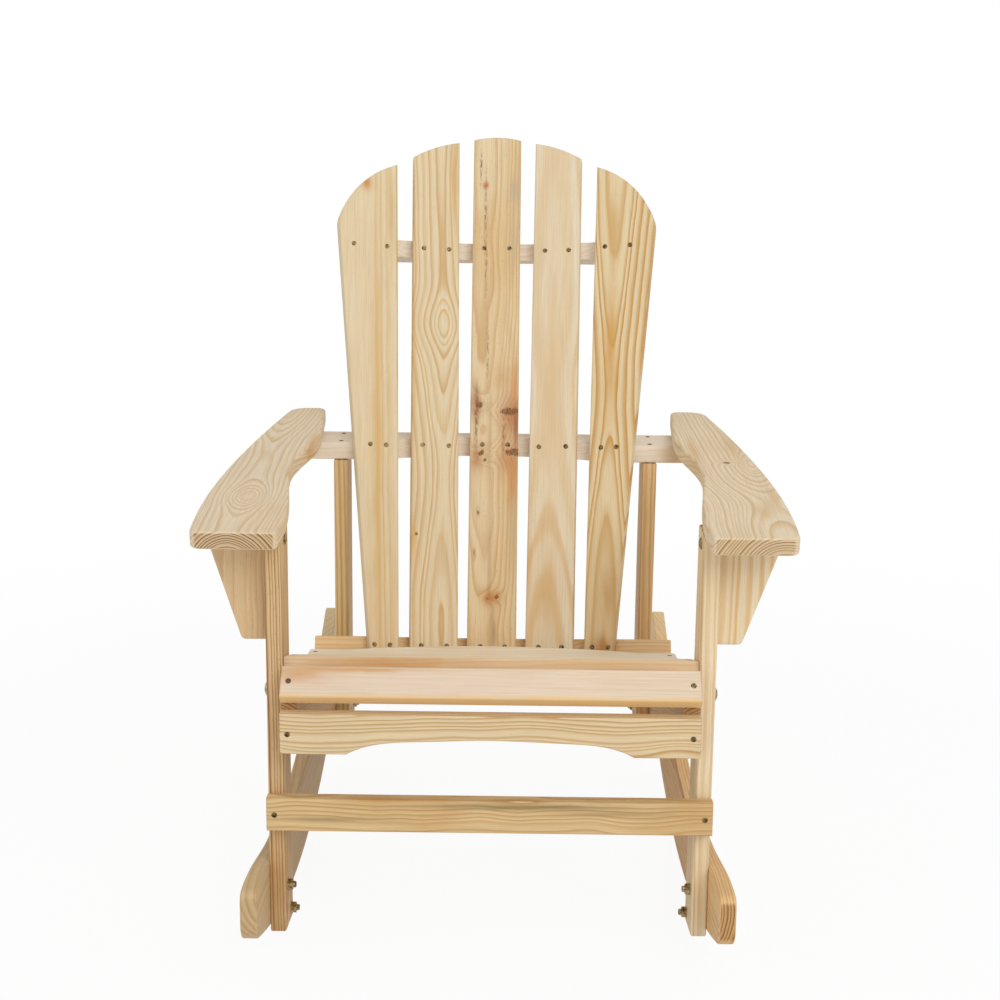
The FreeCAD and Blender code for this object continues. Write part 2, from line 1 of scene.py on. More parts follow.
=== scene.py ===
from math import sin, cos, radians

import bmesh
import bpy
from mathutils import Matrix, Vector


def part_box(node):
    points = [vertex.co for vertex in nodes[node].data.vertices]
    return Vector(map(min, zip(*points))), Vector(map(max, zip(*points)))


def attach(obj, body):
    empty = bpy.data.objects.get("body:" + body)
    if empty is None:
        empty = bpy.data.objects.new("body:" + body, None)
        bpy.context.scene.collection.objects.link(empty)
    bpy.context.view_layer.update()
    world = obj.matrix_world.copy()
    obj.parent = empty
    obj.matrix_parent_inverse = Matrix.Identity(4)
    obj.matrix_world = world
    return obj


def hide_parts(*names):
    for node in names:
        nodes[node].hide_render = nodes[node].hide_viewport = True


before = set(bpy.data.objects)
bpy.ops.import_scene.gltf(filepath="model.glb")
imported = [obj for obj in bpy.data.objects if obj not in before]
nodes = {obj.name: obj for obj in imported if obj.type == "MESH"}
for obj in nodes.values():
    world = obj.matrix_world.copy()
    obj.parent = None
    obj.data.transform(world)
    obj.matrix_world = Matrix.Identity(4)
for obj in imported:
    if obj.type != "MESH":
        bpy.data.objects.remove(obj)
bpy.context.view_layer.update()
mm = 0.001

# The lean of the chair's sloping pieces, in degrees
lean = {
    "back": 18.9,           # the slats, from upright
    "arms": 6.94,           # the arms rise to the rear
    "seatRails": 17.0,      # the rails fall to the rear
    "seatSlats": (14.5, 21.0, 16.5, 5.6),
    "noseSlat": 47.0,
    "slatStep": 7.85,       # turn from one back slat to the next
    "flare": 0.0856,        # spread of the fan per millimetre
}


def tone(red, green, blue):
    # A colour as it shows on a screen, 0 to 255, turned into a linear one
    parts = [c / 255 for c in (red, green, blue)]
    return tuple(c / 12.92 if c <= 0.04045 else ((c + 0.055) / 1.055) ** 2.4 for c in parts) + (1.0,)


class Value:
    # A number that varies over a surface; arithmetic on it adds Math nodes
    def __init__(self, shade, socket):
        self.shade = shade
        self.socket = socket

    def math(self, operation, *others):
        return self.shade.make("ShaderNodeMath", {"operation": operation}, [self, *others])

    def __add__(self, other):
        return self.math("ADD", other)

    def __radd__(self, other):
        return self.math("ADD", other)

    def __sub__(self, other):
        return self.math("SUBTRACT", other)

    def __rsub__(self, other):
        return self.shade.make("ShaderNodeMath", {"operation": "SUBTRACT"}, [other, self])

    def __mul__(self, other):
        return self.math("MULTIPLY", other)

    def __rmul__(self, other):
        return self.math("MULTIPLY", other)

    def __truediv__(self, other):
        return self.math("DIVIDE", other)

    def __pow__(self, other):
        return self.math("POWER", other)

    def __neg__(self):
        return self.math("MULTIPLY", -1.0)


class Shade:
    # One material's nodes
    def __init__(self, name):
        self.material = bpy.data.materials.new(name)
        self.material.use_nodes = True
        self.tree = self.material.node_tree
        self.surface = self.tree.nodes["Principled BSDF"]

    def make(self, kind, settings=None, values=(), output=0):
        node = self.tree.nodes.new(kind)
        for key, value in (settings or {}).items():
            if key == "stops":
                while len(node.color_ramp.elements) < len(value):
                    node.color_ramp.elements.new(0.5)
                for element, (place, level) in zip(node.color_ramp.elements, value):
                    element.position = place
                    element.color = (level, level, level, 1.0)
            elif key == "smooth":
                node.color_ramp.interpolation = "EASE"
            else:
                setattr(node, key, value)
        pairs = values.items() if isinstance(values, dict) else enumerate(values)
        for key, value in pairs:
            self.set(node.inputs[key], value)
        return Value(self, node.outputs[output])

    def set(self, socket, value):
        if isinstance(value, Value):
            self.tree.links.new(value.socket, socket)
        else:
            socket.default_value = value

    def others(self, value, *outputs):
        return [Value(self, value.socket.node.outputs[key]) for key in outputs]

    def mix(self, factor, first, second, blend="MIX"):
        settings = {"data_type": "RGBA", "blend_type": blend, "clamp_factor": True}
        return self.make("ShaderNodeMix", settings, {0: factor, 6: first, 7: second}, 2)

    def ramp(self, value, stops, smooth=False):
        settings = {"stops": stops, "smooth": True} if smooth else {"stops": stops}
        return self.make("ShaderNodeValToRGB", settings, [value])

    def noise(self, place, detail=2.0, channel=0, dimensions="3D"):
        key = "W" if dimensions == "1D" else "Vector"
        return self.make("ShaderNodeTexNoise", {"noise_dimensions": dimensions},
                         {key: place, "Scale": 1.0, "Detail": detail}, channel)

    def stretch(self, place, sizes, shift=(0.0, 0.0, 0.0)):
        return self.make("ShaderNodeMapping", {"vector_type": "POINT"},
                         {"Vector": place, "Location": shift, "Scale": tuple(1.0 / s for s in sizes)})


def slatAxes(number):
    # The fan's slats turn about a line that leans with the back; number 3 is the middle one
    turn = radians(lean["back"])
    up = Vector((0, sin(turn), cos(turn)))
    back = Vector((0, cos(turn), -sin(turn)))
    theta = radians((number - 3) * lean["slatStep"])
    out = Vector((1, 0, 0)) * sin(theta) - back * (1 - cos(theta))
    return up + out * lean["flare"], Vector((1, 0, 0)) * cos(theta) - back * sin(theta)


def sloping(degrees):
    # Towards the rear at this rise, and square to that in side view
    turn = radians(degrees)
    return (0, cos(turn), sin(turn)), (0, -sin(turn), cos(turn))


def axesOf(name):
    # Along the grain, and across it on the board's broad face
    sideways = (1, 0, 0)
    if name.startswith("back_slat"):
        return slatAxes(int(name[-1]))
    if name.startswith("arm_bracket"):
        return (0, 0, 1), sideways
    if name.startswith(("arm_left", "arm_right")):
        return sloping(lean["arms"])[0], sideways
    if name.startswith(("seat_rail", "rear_spacer")):
        return sloping(-lean["seatRails"])
    if name.startswith("rocker"):
        return sloping(0)
    if name.startswith(("front_leg", "rear_post", "arm_dowels")):
        return (0, 0, 1), (0, 1, 0)
    if name == "seat_slat_front":
        return sideways, sloping(180 + lean["noseSlat"])[0]
    if name.startswith("seat_slat"):
        return sideways, sloping(-lean["seatSlats"][int(name[-1]) - 1])[0]
    if name == "middle_back_rail":
        return sideways, sloping(lean["arms"])[0]
    if name in ("lower_back_rail", "upper_back_rail"):
        return sideways, sloping(-lean["back"])[0]
    return sideways, (0, 0, 1)


# What every pine board shares. Lengths are millimetres in the board's own frame: along the
# grain, across its broad face and through its thickness, from the middle of its box
pine = {
    "pale": (226, 208, 176),
    "late": (200, 158, 98),
    "warm": (214, 180, 128),
    "knot": (88, 54, 24),
    "knotRim": (156, 104, 50),
    "ring": 7.0,            # spacing of the year rings
    "pith": (10.0, -70.0),  # where the tree's middle lies, across and through the board
    "taper": 0.012,         # how fast the rings leave the board along its length
    "start": 0.0,           # share of a ring by which the pattern is shifted
    "wander": 5.0,          # slow drift of the grain
    "wanderLength": 260.0,
    "depth": 0.75,          # strength of the dark late wood
    "soft": False,          # broad soft bands instead of lines
    "ends": 1.0,            # how strongly the sawn ends show their rings
    "sawnTone": (122, 78, 38),      # the rings on those ends
    "fade": None,           # from where to where, across the board, the lines gain strength
    "patch": 0.3,           # strength of the warmer patches
    "flecks": 0.2,          # strength of the resin ducts, small dark flecks
    "fleck": (150, 100, 58),
    "seed": 0.0,
    "bumps": (),            # swellings that bend the rings: along, across, height, length, width
    "knots": (),            # along, across, radius, spread across
    "stainsAndPaintedLight": (),           # along, across, length, width, colour, strength, of stains and of painted light and shade
}

# The same on every board. Knots count in their own radius, stains and painted patches of light and shade in
# their own spread
pattern = {
    "seedStep": 7.31,
    "swing": 4.0,           # the drift's noise keeps to about a quarter either way
    "ripple": 0.28,         # share of a ring by which the fine ripple moves it
    "knotRagged": 1.8,
    "knotReach": 2.2,       # how far around a knot the rings give way
    "knotPush": 1.5,        # and by how much
    "knotEdge": (1.25, 0.7),
    "knotStrength": 0.88,
    "unevenSpan": 3.5,      # over how many rings their spacing changes
    "uneven": 2.5,          # and by how many rings
    "yearLine": (0.55, 0.45),       # a line's least strength, and what its year adds
    "fibreLine": (0.75, 0.5),
    "faded": 0.2,           # strength that is left where the lines fade
    "sawnDark": 0.6,
    "sawnLine": 0.6,
    "markWave": (0.9, 1.6),        # how far the ripple moves each stain and painted patch, along and across
    "fibreMark": (0.6, 0.8),
    "streak": 3.0,          # stains and painted patches narrower than this, in millimetres, are broken up
    "rough": 0.66,
    "lateGloss": 0.12,      # late wood is smoother by this
    "specular": 0.35,
    "relief": 0.35,
    "reliefDepth": 0.0005,  # metres
    "fibreHeight": 0.5,
    "lateHeight": 0.35,
    "knotHeight": 0.6,
}

# Grain of the noises, in millimetres along the board, across it and through it
fineness = {
    "drift": (130.0, 130.0),        # the length is each board's wanderLength
    "ripple": (45.0, 13.0, 13.0),
    "ragged": (7.0, 2.5, 2.5),
    "fibre": (55.0, 1.5, 1.5),
    "duct": (9.0, 0.9, 0.9),
    "heart": (4.0, 1.6, 1.6),
}

# Grey ramps, each stop with its place and its level
ramps = {
    "sharpRing": ((0.0, 0.25), (0.1, 0.0), (0.45, 0.12), (0.78, 0.75), (0.92, 1.0), (1.0, 0.25)),
    "softRing": ((0.0, 0.0), (0.3, 0.1), (0.62, 1.0), (0.76, 0.92), (1.0, 0.0)),
    "sawn": ((0.8, 0.0), (0.93, 1.0)),
    "patch": ((0.42, 0.0), (0.68, 1.0)),
    "fibre": ((0.35, 0.925), (0.62, 1.04)),
    "duct": ((0.69, 0.0), (0.77, 1.0)),
    "broken": ((0.4, 0.15), (0.56, 1.0)),
    "heart": ((0.38, 0.0), (0.62, 1.0)),
    "cloud": ((0.35, 0.0), (0.65, 1.0)),
}


def boardPlace(shade, name):
    # Object coordinates turned into the board's own frame, in millimetres
    along, across = (Vector(axis).normalized() for axis in axesOf(name))
    low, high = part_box(name)
    turn = Matrix((along, across, along.cross(across))).transposed().to_euler()
    place = shade.make("ShaderNodeTexCoord", output=3)
    local = shade.make("ShaderNodeMapping", {"vector_type": "TEXTURE"},
                       {"Vector": place, "Location": tuple((low + high) / 2), "Rotation": tuple(turn),
                        "Scale": (mm, mm, mm)})
    return local, along


def bell(du, dv):
    # One in the middle of a spot, falling off to zero
    return (-(du * du + dv * dv)).math("EXPONENT")


def share(parts, value):
    # A least strength and what a noise adds to it
    least, added = parts
    return least + added * value


def woodMaterial(name, grain):
    look = {**pine, **pattern, **grain}
    shade = Shade("pine_" + name)
    local, along = boardPlace(shade, name)
    u, v, w = shade.others(shade.make("ShaderNodeSeparateXYZ", values=[local]), 0, 1, 2)
    seed = look["seed"] * look["seedStep"]
    ring = look["ring"]
    late = tone(*look["late"])

    # Slow drift of the trunk, then the distance to its middle
    driftSizes = (look["wanderLength"], *fineness["drift"])
    drift = shade.noise(shade.stretch(local, driftSizes, (seed, seed * 0.7, 3.1)), 2.0, 1)
    driftV, driftW, patchy = shade.others(shade.make("ShaderNodeSeparateColor", values=[drift]), 0, 1, 2)
    sway = look["wander"] * look["swing"]
    offV = v + (driftV - 0.5) * sway - look["pith"][0]
    offW = w + (driftW - 0.5) * sway - look["pith"][1]
    radius = (offV * offV + offW * offW) ** 0.5 - u * look["taper"]
    ripple = shade.noise(shade.stretch(local, fineness["ripple"], (1.7, seed, 0.0)), 3.0) - 0.5
    radius = radius + ripple * (ring * look["ripple"])
    for spotU, spotV, height, spanU, spanV in look["bumps"]:
        radius = radius + bell((u - spotU) / spanU, (v - spotV) / spanV) * height

    # Knots push the rings aside
    ragged = shade.noise(shade.stretch(local, fineness["ragged"], (0.0, seed, 1.0))) - 0.5
    outer, inner = look["knotEdge"]
    knotMask = None
    for spotU, spotV, size, spread in look["knots"]:
        du = u - spotU
        dv = (v - spotV) / spread
        far = (du * du + dv * dv) ** 0.5 + (ripple + ragged) * (size * look["knotRagged"])
        reach = 2 * (look["knotReach"] * size) ** 2
        radius = radius + (-(far * far / reach)).math("EXPONENT") * size * look["knotPush"]
        core = shade.make("ShaderNodeMapRange", {"interpolation_type": "SMOOTHSTEP"},
                          {"Value": far, "From Min": size * outer, "From Max": size * inner})
        knotMask = core if knotMask is None else knotMask.math("MAXIMUM", core)

    # Year rings: pale early wood, then late wood that darkens and ends sharply
    uneven = shade.noise(radius / (ring * look["unevenSpan"]), 1.0, 0, "1D")
    phase = radius / ring + uneven * look["uneven"] + look["start"]
    year = shade.make("ShaderNodeTexWhiteNoise", {"noise_dimensions": "1D"}, {"W": phase.math("FLOOR")})
    profile = ramps["softRing"] if look["soft"] else ramps["sharpRing"]
    lateWood = shade.ramp(phase.math("FRACT"), profile, look["soft"])
    fibre = shade.noise(shade.stretch(local, fineness["fibre"], (0.0, seed, 2.0)), 3.0)
    line = lateWood * share(look["yearLine"], year) * share(look["fibreLine"], fibre) * look["depth"]
    if look["fade"]:
        weak, strong = look["fade"]
        line = line * shade.make("ShaderNodeMapRange", {"interpolation_type": "SMOOTHSTEP"},
                                 {"Value": v, "From Min": weak, "From Max": strong, "To Min": look["faded"]})

    # Sawn ends show every ring, and are a little darker
    facing = shade.make("ShaderNodeNewGeometry", output=1)
    ends = shade.make("ShaderNodeVectorMath", {"operation": "DOT_PRODUCT"}, [facing, tuple(along)], 1)
    sawn = shade.ramp(ends.math("ABSOLUTE"), ramps["sawn"]) * look["ends"]

    patch = shade.ramp(patchy, ramps["patch"], True) * look["patch"]
    colour = shade.mix(patch, tone(*look["pale"]), tone(*look["warm"]))
    colour = shade.mix(sawn * look["sawnDark"], colour, late)
    lineColour = shade.mix(sawn, late, tone(*look["sawnTone"]))
    colour = shade.mix(line * (1 + sawn * look["sawnLine"]), colour, lineColour)
    colour = shade.mix(1.0, colour, shade.ramp(fibre, ramps["fibre"]), "MULTIPLY")
    duct = shade.noise(shade.stretch(local, fineness["duct"], (seed, 0.0, 5.0)), 1.0)
    fleck = shade.ramp(duct, ramps["duct"]) * look["flecks"]
    colour = shade.mix(fleck, colour, tone(*look["fleck"]))

    # Stains, some of them painted light and shade, and streaks that are broken up
    broken = shade.ramp(ragged + 0.5, ramps["broken"])
    waveU, waveV = look["markWave"]
    for spotU, spotV, spanU, spanV, tint, strength in look["stainsAndPaintedLight"]:
        du = (u + ripple * (spanU * waveU) - spotU) / spanU
        dv = (v + ripple * (spanV * waveV) - spotV) / spanV
        mask = bell(du, dv) * share(look["fibreMark"], fibre) * strength
        if spanV < look["streak"]:
            mask = mask * broken
        colour = shade.mix(mask, colour, tone(*tint))

    height = fibre * look["fibreHeight"] - lateWood * look["lateHeight"]
    if knotMask is not None:
        rings = shade.noise(shade.stretch(local, fineness["heart"]), 2.0)
        heart = shade.mix(shade.ramp(rings, ramps["heart"]), tone(*look["knot"]), tone(*look["knotRim"]))
        colour = shade.mix(knotMask * look["knotStrength"], colour, heart)
        height = height - knotMask * look["knotHeight"]
    relief = shade.make("ShaderNodeBump", values={"Strength": look["relief"], "Distance": look["reliefDepth"],
                                                  "Height": height})
    shade.set(shade.surface.inputs["Base Color"], colour)
    shade.set(shade.surface.inputs["Roughness"], look["rough"] - look["lateGloss"] * lateWood)
    shade.set(shade.surface.inputs["Normal"], relief)
    shade.surface.inputs["Specular IOR Level"].default_value = look["specular"]
    return shade.material


def dress(name, grain):
    piece = nodes[name]
    piece.data.materials.clear()
    piece.data.materials.append(woodMaterial(name, grain))


# Back slats, from the left as one faces the chair
rust = (176, 104, 56)
barkBrown = (138, 88, 50)
backSlats = {
    "back_slat_1": {
        "seed": 1.0, "pith": (64.0, -30.0), "ring": 11.0, "taper": 0.012, "depth": 0.9, "wander": 3.0,
        "fade": (-8.0, 24.0), "pale": (227, 208, 172), "late": (206, 166, 102), "patch": 0.35,
        "stainsAndPaintedLight": ((336.0, -8.0, 10.0, 9.0, (206, 140, 70), 0.95),
                   (-60.0, 9.0, 280.0, 7.0, (214, 172, 104), 0.75),
                   (300.0, 30.0, 70.0, 3.5, (206, 162, 96), 0.6)),
    },
    "back_slat_2": {
        "seed": 2.0, "pith": (10.0, -3.0), "ring": 8.0, "taper": 0.02, "depth": 0.95, "wander": 4.0,
        "start": 0.3, "pale": (227, 208, 172), "late": (202, 160, 96),
        "bumps": ((-110.0, 0.0, 20.0, 150.0, 500.0), (110.0, 8.0, -15.0, 38.0, 60.0),
                  (330.0, 32.0, 14.0, 120.0, 25.0)),
        "stainsAndPaintedLight": ((-200.0, -32.0, 40.0, 5.0, (216, 170, 104), 0.7),
                   (330.0, 26.0, 70.0, 5.0, (208, 162, 92), 0.7),
                   (80.0, -33.0, 190.0, 4.0, (208, 160, 84), 0.6)),
        "knots": ((-197.0, -27.0, 1.6, 1.0),),
    },
    "back_slat_3": {
        "seed": 3.0, "pith": (-16.0, -55.0), "ring": 4.2, "taper": 0.02, "depth": 0.75, "wander": 5.0,
        "pale": (228, 206, 166), "late": (196, 150, 90), "patch": 0.6, "warm": (216, 178, 122), "flecks": 0.6,
        "knots": ((-13.0, -21.0, 4.4, 1.0), (-22.0, 22.0, 5.0, 2.6), (-84.0, -19.0, 4.4, 1.2),
                  (-82.0, 29.0, 5.0, 2.8), (-94.0, -12.0, 3.0, 1.2), (-292.0, 6.0, 3.2, 1.0),
                  (-294.0, -7.0, 2.4, 1.0)),
        "stainsAndPaintedLight": ((318.0, -17.0, 5.0, 4.0, (188, 108, 40), 0.95),
                   (-12.0, -27.0, 26.0, 9.0, (154, 88, 48), 0.75),
                   (-28.0, 24.0, 34.0, 15.0, rust, 0.8), (-90.0, -24.0, 22.0, 12.0, rust, 0.6),
                   (-98.0, 22.0, 26.0, 12.0, (186, 116, 66), 0.65),
                   (-50.0, 31.0, 40.0, 3.0, (142, 88, 46), 0.8),
                   (-34.0, -26.0, 44.0, 2.8, (126, 80, 44), 0.9),
                   (-60.0, 14.0, 30.0, 2.4, (150, 96, 54), 0.8),
                   (-128.0, 27.0, 34.0, 7.0, (204, 132, 66), 0.8),
                   (18.0, 30.0, 34.0, 5.0, (206, 138, 70), 0.8),
                   (30.0, 12.0, 24.0, 14.0, (206, 158, 106), 0.6),
                   (-292.0, 0.0, 12.0, 13.0, (190, 122, 44), 0.85),
                   (345.0, -24.0, 24.0, 1.6, barkBrown, 0.9), (270.0, -17.0, 60.0, 2.0, barkBrown, 0.75),
                   (60.0, -11.0, 50.0, 2.0, (150, 98, 56), 0.7),
                   (-60.0, -6.0, 70.0, 3.2, (150, 100, 60), 0.3),
                   (-250.0, -4.0, 60.0, 3.2, (150, 104, 62), 0.35),
                   (190.0, -15.0, 40.0, 2.0, (150, 96, 54), 0.8),
                   (312.0, 27.0, 22.0, 9.0, (176, 164, 142), 0.5),
                   (230.0, 26.0, 40.0, 7.0, (182, 170, 146), 0.4),
                   (-190.0, 28.0, 60.0, 6.0, (184, 164, 128), 0.5),
                   (-345.0, 2.0, 26.0, 3.4, (150, 108, 66), 0.6),
                   (-170.0, -22.0, 6.0, 2.0, (140, 84, 48), 1.0),
                   (-230.0, -26.0, 7.0, 2.0, (140, 84, 48), 1.0)),
    },
    "back_slat_4": {
        "seed": 4.0, "pith": (-4.0, 14.0), "ring": 15.0, "taper": -0.06, "depth": 0.75, "wander": 4.0,
        "soft": True, "pale": (230, 214, 184), "late": (216, 178, 122), "patch": 0.2, "warm": (220, 188, 142),
        "bumps": ((-60.0, 0.0, 26.0, 190.0, 500.0),),
        "stainsAndPaintedLight": ((-290.0, -4.0, 70.0, 14.0, (208, 168, 110), 0.5),
                   (60.0, -3.0, 170.0, 8.0, (218, 184, 138), 0.6),
                   (-250.0, -31.0, 90.0, 4.0, (208, 160, 94), 0.5)),
    },
    "back_slat_5": {
        "seed": 5.0, "pith": (-12.0, -3.0), "ring": 8.0, "taper": 0.0, "depth": 1.25, "wander": 2.5,
        "start": 0.45, "pale": (229, 209, 168), "late": (200, 148, 74),
        "bumps": ((40.0, 0.0, 22.0, 215.0, 500.0),),
        "stainsAndPaintedLight": ((-330.0, 0.0, 170.0, 60.0, (206, 170, 110), 0.3),
                   (-262.0, -6.0, 34.0, 12.0, (192, 142, 76), 0.6),
                   (-338.0, -14.0, 16.0, 14.0, (184, 124, 64), 0.8),
                   (90.0, -12.0, 90.0, 8.0, (210, 158, 80), 0.85),
                   (280.0, -13.0, 40.0, 6.0, (210, 168, 100), 0.7)),
    },
}
for name, grain in backSlats.items():
    dress(name, grain)
print("back slats dressed")

arms = {
    "arm_left": {
        "seed": 6.0, "pith": (-4.0, 36.0), "ring": 3.4, "taper": 0.03, "depth": 0.85, "wander": 3.0,
        "pale": (231, 213, 184), "late": (204, 168, 112), "patch": 0.25,
        "bumps": ((-152.0, -2.0, -12.0, 44.0, 27.0), (60.0, 6.0, 7.0, 120.0, 500.0)),
        "stainsAndPaintedLight": ((255.0, -20.0, 60.0, 14.0, (216, 180, 126), 0.5),
                   (60.0, 48.0, 70.0, 4.0, (206, 152, 84), 0.7)),
    },
    "arm_right": {
        "seed": 7.0, "pith": (34.0, 40.0), "ring": 3.8, "taper": 0.03, "depth": 0.85, "wander": 3.0,
        "pale": (232, 214, 184), "late": (204, 166, 108), "patch": 0.3, "ends": 0.75,
        "bumps": ((15.0, 36.0, -13.0, 42.0, 15.0), (-150.0, 34.0, 12.0, 80.0, 500.0)),
        "knots": ((19.0, 3.8, 3.4, 1.6),),
        "stainsAndPaintedLight": ((-185.0, 20.0, 24.0, 11.0, (214, 176, 120), 0.6),
                   (90.0, 20.0, 60.0, 8.0, (210, 174, 118), 0.6),
                   (80.0, -34.0, 60.0, 6.0, (208, 162, 88), 0.6),
                   (-120.0, 42.0, 30.0, 6.0, (212, 172, 116), 0.6)),
    },
    "arm_bracket_left": {
        "seed": 8.0, "pith": (-30.0, -60.0), "ring": 5.5, "depth": 0.6, "pale": (223, 194, 152),
        "late": (194, 148, 98), "patch": 0.5, "flecks": 0.6,
    },
    "arm_bracket_right": {
        "seed": 9.0, "pith": (-70.0, -20.0), "ring": 11.0, "depth": 0.9, "pale": (237, 219, 186),
        "soft": True, "late": (220, 176, 112), "wander": 1.5, "patch": 0.15,
    },
}
for name, grain in arms.items():
    dress(name, grain)
print("arms dressed")

# Painted shade: the warmer, more orange tone that the front seat slat's lower edge face shows in shade, laid
# along that face
paintedEdgeShade = (236, 196, 136)
seatSlats = {
    "seat_slat_front": {
        "seed": 10.0, "pith": (-90.0, -20.0), "ring": 5.0, "depth": 0.32, "pale": (229, 210, 184),
        "late": (216, 176, 134), "warm": (226, 196, 164), "wander": 3.0,
        # The first stain, a band along the lower edge face, is that painted shade
        "stainsAndPaintedLight": ((0.0, 20.5, 900.0, 3.0, paintedEdgeShade, 1.1), (-228.0, -8.0, 34.0, 9.0, (208, 152, 94), 0.8),
                   (-60.0, 2.0, 160.0, 12.0, (230, 204, 184), 0.6),
                   (-170.0, -16.0, 90.0, 3.2, (208, 156, 98), 0.9)),
    },
    "seat_slat_1": {
        "seed": 11.0, "pith": (-60.0, -40.0), "ring": 5.5, "depth": 0.6, "pale": (243, 225, 194),
        "late": (214, 178, 126),
        "stainsAndPaintedLight": ((-120.0, -31.0, 130.0, 3.0, (204, 152, 90), 0.8),
                   (140.0, -31.0, 160.0, 3.0, (212, 166, 106), 0.6)),
    },
    "seat_slat_2": {"seed": 12.0, "pith": (-40.0, -50.0), "ring": 6.0, "depth": 0.5, "pale": (247, 236, 210)},
    "seat_slat_3": {"seed": 13.0, "pith": (20.0, -30.0), "ring": 7.0, "depth": 0.6, "pale": (247, 236, 210)},
    "seat_slat_4": {"seed": 14.0, "pith": (50.0, -50.0), "ring": 6.0, "depth": 0.5, "pale": (247, 236, 212)},
    "front_apron": {
        "seed": 15.0, "pith": (-60.0, -70.0), "ring": 3.6, "depth": 1.35, "wander": 5.0,
        "wanderLength": 200.0, "pale": (228, 206, 166), "late": (196, 156, 102), "patch": 0.15,
        "taper": 0.006,
    },
}
for name, grain in seatSlats.items():
    dress(name, grain)
print("seat dressed")

rockers = {
    "rocker_left": {
        "seed": 16.0, "pith": (10.0, 50.0), "ring": 7.5, "depth": 0.6, "pale": (208, 182, 140),
        "late": (172, 132, 80), "patch": 0.4, "ends": 0.3,
        # The pale stain over the rear is painted light: it lightens the rocker's tail, which sits in shade
        "stainsAndPaintedLight": ((440.0, 0.0, 90.0, 400.0, (240, 216, 172), 0.7),),
    },
    "rocker_right": {
        "seed": 17.0, "pith": (-2.0, -95.0), "ring": 4.6, "depth": 0.9, "pale": (236, 198, 142),
        "late": (188, 132, 70), "patch": 0.4, "wander": 3.0,
        # The pale stain over the rear is painted light: it lightens the rocker's tail, which sits in shade
        "stainsAndPaintedLight": ((440.0, 0.0, 90.0, 400.0, (240, 216, 172), 0.6),),
    },
}
for name, grain in rockers.items():
    dress(name, grain)
print("rockers dressed")

honey = {"pale": (220, 184, 132), "late": (176, 126, 72), "patch": 0.4, "depth": 0.8}
blush = {"pale": (242, 231, 213), "late": (224, 200, 168), "warm": (234, 210, 180), "depth": 0.5}
framing = {
    "front_leg_left": {
        "seed": 18.0, "pith": (-20.0, -95.0), "ring": 4.2, "depth": 1.2, "pale": (220, 190, 142),
        "late": (152, 92, 36), "wander": 1.5, "patch": 0.3, "warm": (204, 160, 102), "flecks": 0.6,
        "stainsAndPaintedLight": ((-255.0, -31.0, 14.0, 8.0, (140, 90, 48), 0.4),
                   (-200.0, -31.0, 60.0, 8.0, (178, 130, 74), 0.4)),
    },
    "front_leg_right": {
        "seed": 19.0, "pith": (-30.0, -80.0), "ring": 7.0, "depth": 0.75, "pale": (238, 219, 184),
        "late": (212, 172, 112), "wander": 2.0, "soft": True,
    },
    "rear_post_left": {**honey, "seed": 20.0, "pith": (-60.0, -60.0), "ring": 7.0, "soft": True, "wander": 2.0,
                       "pale": (232, 200, 146), "late": (176, 140, 80)},
    "rear_post_right": {**honey, "seed": 21.0, "pith": (-60.0, -60.0), "ring": 6.0, "soft": True, "wander": 2.0,
                        "pale": (232, 196, 142), "late": (186, 134, 76)},
    "seat_rail_left": {**honey, "seed": 22.0, "pith": (-70.0, -40.0), "ring": 4.5, "pale": (212, 178, 128)},
    "seat_rail_right": {**honey, "seed": 23.0, "pith": (-70.0, 40.0), "ring": 4.5, "pale": (212, 178, 128)},
    "rear_spacer_left": {**honey, "seed": 24.0},
    "rear_spacer_right": {**honey, "seed": 25.0},
    "foot_stretcher": {
        "seed": 26.0, "pith": (-60.0, -30.0), "ring": 5.5, "depth": 0.95, "pale": (222, 192, 142),
        "late": (188, 138, 74), "patch": 0.6, "warm": (206, 166, 108), "wander": 6.0, "wanderLength": 170.0,
        "stainsAndPaintedLight": ((40.0, 14.0, 120.0, 4.0, (146, 124, 82), 0.9),
                   (-190.0, -4.0, 60.0, 3.0, (160, 134, 90), 0.7),
                   (150.0, 6.0, 70.0, 3.0, (160, 132, 86), 0.6)),
    },
    "lower_back_rail": {**honey, "seed": 27.0, "pith": (-60.0, -40.0), "ring": 5.0, "pale": (232, 198, 150),
                        "late": (206, 160, 104)},
    "middle_back_rail": {**blush, "seed": 28.0, "pith": (-70.0, -30.0), "ring": 5.0,
                         # The stain is a darker tan patch at the right end of the rail's front edge
                         "stainsAndPaintedLight": ((262.0, -33.0, 24.0, 6.0, (206, 172, 130), 0.9),)},
    "upper_back_rail": {**blush, "seed": 29.0, "pith": (-60.0, -40.0), "ring": 5.0},
    "arm_dowels": {"seed": 30.0, "ring": 3.0},
}
for name, grain in framing.items():
    dress(name, grain)
print("frame boards dressed")

# Countersunk wood screws with a cross recess, in millimetres, and the metals' colours
screws = {
    "Head Width": 7.0,
    "Shank Width": 4.0,
    "Head Height": 1.9,
    "Tip Length": 4.0,
    "Recess Width": 1.2,
    "Recess Length": 4.4,
    "Recess Depth": 1.1,
}
screwCorners = {"head": 28, "shank": 16}
screwTurn = {"most": 6.28, "seed": 4}       # each screw's head is turned by chance, in radians
metals = {
    "screw": {"light": (156, 132, 92), "dark": (70, 55, 36), "rough": 0.4},
    "bolt": {"light": (196, 178, 136), "dark": (104, 86, 54), "rough": 0.3},
    "cloud": 0.004,         # metres, as are the next two
    "scratch": 0.0006,
    "reliefDepth": 0.0002,
    "relief": 0.2,
    "cloudRough": 0.15,     # lighter plating is rougher by this
}


